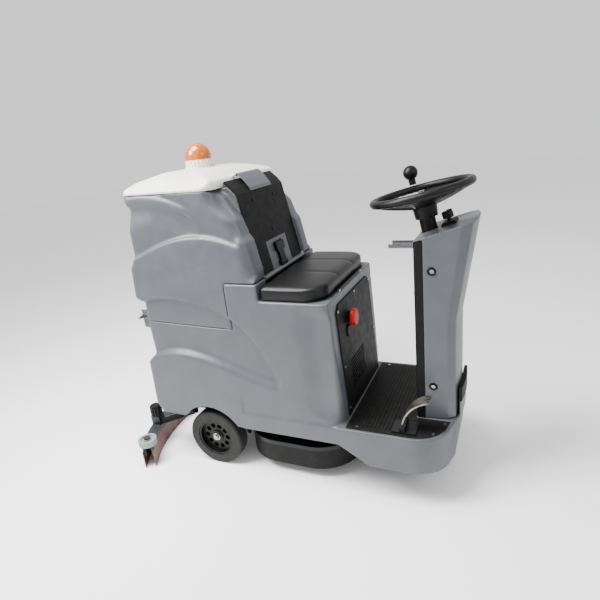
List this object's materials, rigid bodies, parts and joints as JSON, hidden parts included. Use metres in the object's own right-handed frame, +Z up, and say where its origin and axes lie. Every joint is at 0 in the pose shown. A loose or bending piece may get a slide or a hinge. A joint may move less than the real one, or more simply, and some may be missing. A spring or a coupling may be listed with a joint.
{
  "type": "ride-on floor scrubber",
  "caption": "Ride-on floor scrubber with recovery tank, seat, steering column, scrub deck and curved squeegee.",
  "frame": {"origin": "on the floor, under the middle of the machine's overall box", "axes": "+X is the driving direction, +Y the driver's left, +Z up"},
  "size_m": [1.464, 0.7974, 1.329],
  "materials": {
    "grey_moulding": "rotational moulded polyethylene, satin",
    "ivory_moulding": "rotational moulded polyethylene, satin",
    "clear_base": "clear moulded plastic with ribs",
    "amber_dome": "clear amber moulding",
    "mirror": "vacuum coated reflector",
    "black_steel": "black powder coat",
    "zinc_steel": "zinc plated",
    "bare_steel": "machined",
    "chrome_lever": "polished",
    "black_plastic": "fine textured moulding",
    "cast_metal": "cast, painted dark",
    "black_rubber": "matt",
    "black_vinyl": "grained vinyl",
    "cream_sheath": "extruded sheath",
    "red_button": "gloss moulding",
    "grey_tyre": "solid non-marking rubber",
    "bristle": "nylon bristle",
    "red_rubber": "squeegee gum rubber",
    "roller_rubber": "grey roller rubber"
  },
  "bodies": {
    "chassis": {"main_body": "grey_moulding", "chassis_frame": "black_steel", "fork_bearing": "bare_steel", "rear_axle": "zinc_steel", "batteries": "black_plastic", "vacuum_motor": "black_plastic", "motor_controller": "cast_metal", "deck_mat": "black_rubber", "seat_base_panel": "black_plastic", "body_fixings": "zinc_steel", "e_stop_collar": "black_plastic", "charge_socket": "black_plastic", "column_shell": "grey_moulding", "column_rear_cover": "black_plastic", "column_bolts": "zinc_steel", "dash_pod": "black_plastic", "front_bumper": "black_rubber", "lift_cable": "cream_sheath", "shaft_housing": "black_plastic", "pedal_base": "black_steel"},
    "e_stop": {"e_stop_button": "red_button"},
    "rear_wheel_left": {"rear_tyre_left": "grey_tyre", "rear_hub_left": "black_plastic"},
    "rear_wheel_right": {"rear_tyre_right": "grey_tyre", "rear_hub_right": "black_plastic"},
    "steering": {"steering_wheel": "black_plastic", "steering_shaft": "bare_steel"},
    "spinner": {"spinner_knob": "black_plastic"},
    "pinion": {"steering_pinion": "bare_steel"},
    "fork": {"drive_fork": "black_steel"},
    "drive_wheel": {"drive_tyre": "grey_tyre", "drive_hub": "cast_metal"},
    "seat": {"seat_cushion": "black_vinyl", "seat_pan": "black_steel"},
    "tank": {"recovery_tank": "grey_moulding", "backrest_panel": "black_plastic", "backrest_fixings": "zinc_steel", "notch_plate": "grey_moulding"},
    "lid": {"tank_lid": "ivory_moulding", "beacon_base": "clear_base", "beacon_dome": "amber_dome"},
    "reflector": {"beacon_reflector": "mirror"},
    "latch": {"latch_clip": "grey_moulding"},
    "lock": {"tank_lock_lever": "black_plastic"},
    "pedal": {"accelerator_pedal": "bare_steel"},
    "deck": {"brush_deck": "black_steel", "deck_skirt": "black_rubber", "brush_motor": "cast_metal"},
    "brush": {"scrub_brush": "bristle"},
    "squeegee": {"squeegee_arm": "black_steel", "squeegee_bar": "cast_metal", "squeegee_blades": "red_rubber", "squeegee_knobs": "black_plastic", "squeegee_hose": "black_rubber"},
    "roller_left": {"end_roller_left": "roller_rubber"},
    "roller_right": {"end_roller_right": "roller_rubber"},
    "deck_hand_lever": {"deck_lever": "chrome_lever"},
    "squeegee_hand_lever": {"squeegee_lever": "chrome_lever"},
    "speed_dial": {"speed_knob": "black_plastic"}
  },
  "joints": [
    {"name": "e_stop_press", "type": "slide", "parent": "chassis", "child": "e_stop", "axis": [-0.9986, 0, -0.0533], "range_m": [0, 0.005]},
    {"name": "rear_wheel_left_spin", "type": "hinge", "parent": "chassis", "child": "rear_wheel_left", "pos_m": [-0.306, 0.238, 0.125], "axis": [0, 1, 0], "continuous": true},
    {"name": "rear_wheel_right_spin", "type": "hinge", "parent": "chassis", "child": "rear_wheel_right", "pos_m": [-0.306, -0.238, 0.125], "axis": [0, 1, 0], "continuous": true},
    {"name": "fork_turn", "type": "hinge", "parent": "chassis", "child": "fork", "pos_m": [0.544, 0, 0.224], "axis": [0, 0, 1], "range_deg": [-42, 42]},
    {"name": "drive_wheel_spin", "type": "hinge", "parent": "fork", "child": "drive_wheel", "pos_m": [0.544, 0, 0.105], "axis": [0, 1, 0], "continuous": true},
    {"name": "pinion_turn", "type": "hinge", "parent": "chassis", "child": "pinion", "pos_m": [0.6015, 0, 0.224], "axis": [0, 0, 1], "range_deg": [-180.02, 180.02]},
    {"name": "steering_turn", "type": "hinge", "parent": "chassis", "child": "steering", "pos_m": [0.54, 0, 1.09], "axis": [-0.1908, 0, 0.9816], "range_deg": [-180.02, 180.02]},
    {"name": "spinner_spin", "type": "hinge", "parent": "steering", "child": "spinner", "pos_m": [0.48427, 0.15599, 1.07917], "axis": [-0.1908, 0, 0.9816], "continuous": true},
    {"name": "seat_tilt", "type": "hinge", "parent": "chassis", "child": "seat", "pos_m": [0.259, 0, 0.7693], "axis": [0, 1, 0], "range_deg": [0, 75]},
    {"name": "tank_tilt", "type": "hinge", "parent": "chassis", "child": "tank", "pos_m": [-0.606, 0, 0.654], "axis": [0, -1, 0], "range_deg": [0, 60]},
    {"name": "lid_open", "type": "hinge", "parent": "tank", "child": "lid", "pos_m": [-0.554, 0, 1.155], "axis": [0, -1, 0], "range_deg": [0, 75]},
    {"name": "reflector_spin", "type": "hinge", "parent": "lid", "child": "reflector", "pos_m": [-0.344, 0, 1.2321], "axis": [0, 0, 1], "continuous": true},
    {"name": "latch_open", "type": "hinge", "parent": "lid", "child": "latch", "pos_m": [-0.128, 0, 1.199], "axis": [0, -1, 0], "range_deg": [0, 70]},
    {"name": "lock_open", "type": "hinge", "parent": "tank", "child": "lock", "pos_m": [-0.015, 0, 0.842], "axis": [0, 1, 0], "range_deg": [0, 60]},
    {"name": "pedal_press", "type": "hinge", "parent": "chassis", "child": "pedal", "pos_m": [0.5, -0.215, 0.304], "axis": [0, 1, 0], "range_deg": [0, 15], "stiffness_Nm_per_rad": 8, "springref_deg": -11.46},
    {"name": "deck_lift", "type": "slide", "parent": "chassis", "child": "deck", "axis": [0, 0, 1], "range_m": [-0.04, 0]},
    {"name": "brush_spin", "type": "hinge", "parent": "deck", "child": "brush", "pos_m": [0.045, 0, 0.131], "axis": [0, 0, 1], "continuous": true},
    {"name": "squeegee_lift", "type": "hinge", "parent": "chassis", "child": "squeegee", "pos_m": [-0.456, 0, 0.195], "axis": [0, 1, 0], "range_deg": [0, 18]},
    {"name": "roller_left_spin", "type": "hinge", "parent": "squeegee", "child": "roller_left", "pos_m": [-0.61256, 0.35366, 0.098], "axis": [0, 0, 1], "continuous": true},
    {"name": "roller_right_spin", "type": "hinge", "parent": "squeegee", "child": "roller_right", "pos_m": [-0.61256, -0.35366, 0.098], "axis": [0, 0, 1], "continuous": true},
    {"name": "deck_lever_turn", "type": "hinge", "parent": "chassis", "child": "deck_hand_lever", "pos_m": [0.554, -0.03, 0.908], "axis": [0, 1, 0], "range_deg": [-26.1, 0]},
    {"name": "squeegee_lever_turn", "type": "hinge", "parent": "chassis", "child": "squeegee_hand_lever", "pos_m": [0.554, 0.03, 0.908], "axis": [0, 1, 0], "range_deg": [-26.1, 0]},
    {"name": "speed_dial_turn", "type": "hinge", "parent": "chassis", "child": "speed_dial", "pos_m": [0.632, 0, 0.9905], "axis": [-0.2873, 0, 0.9578], "range_deg": [-135, 135]}
  ],
  "couplings": [
    {"joint": "pinion_turn", "follows": "fork_turn", "ratio": 4.2857},
    {"joint": "steering_turn", "follows": "fork_turn", "ratio": 4.2857},
    {"joint": "deck_lever_turn", "follows": "deck_lift", "rad_per_m": 11.345},
    {"joint": "squeegee_lever_turn", "follows": "squeegee_lift", "ratio": -1.4444}
  ]
}
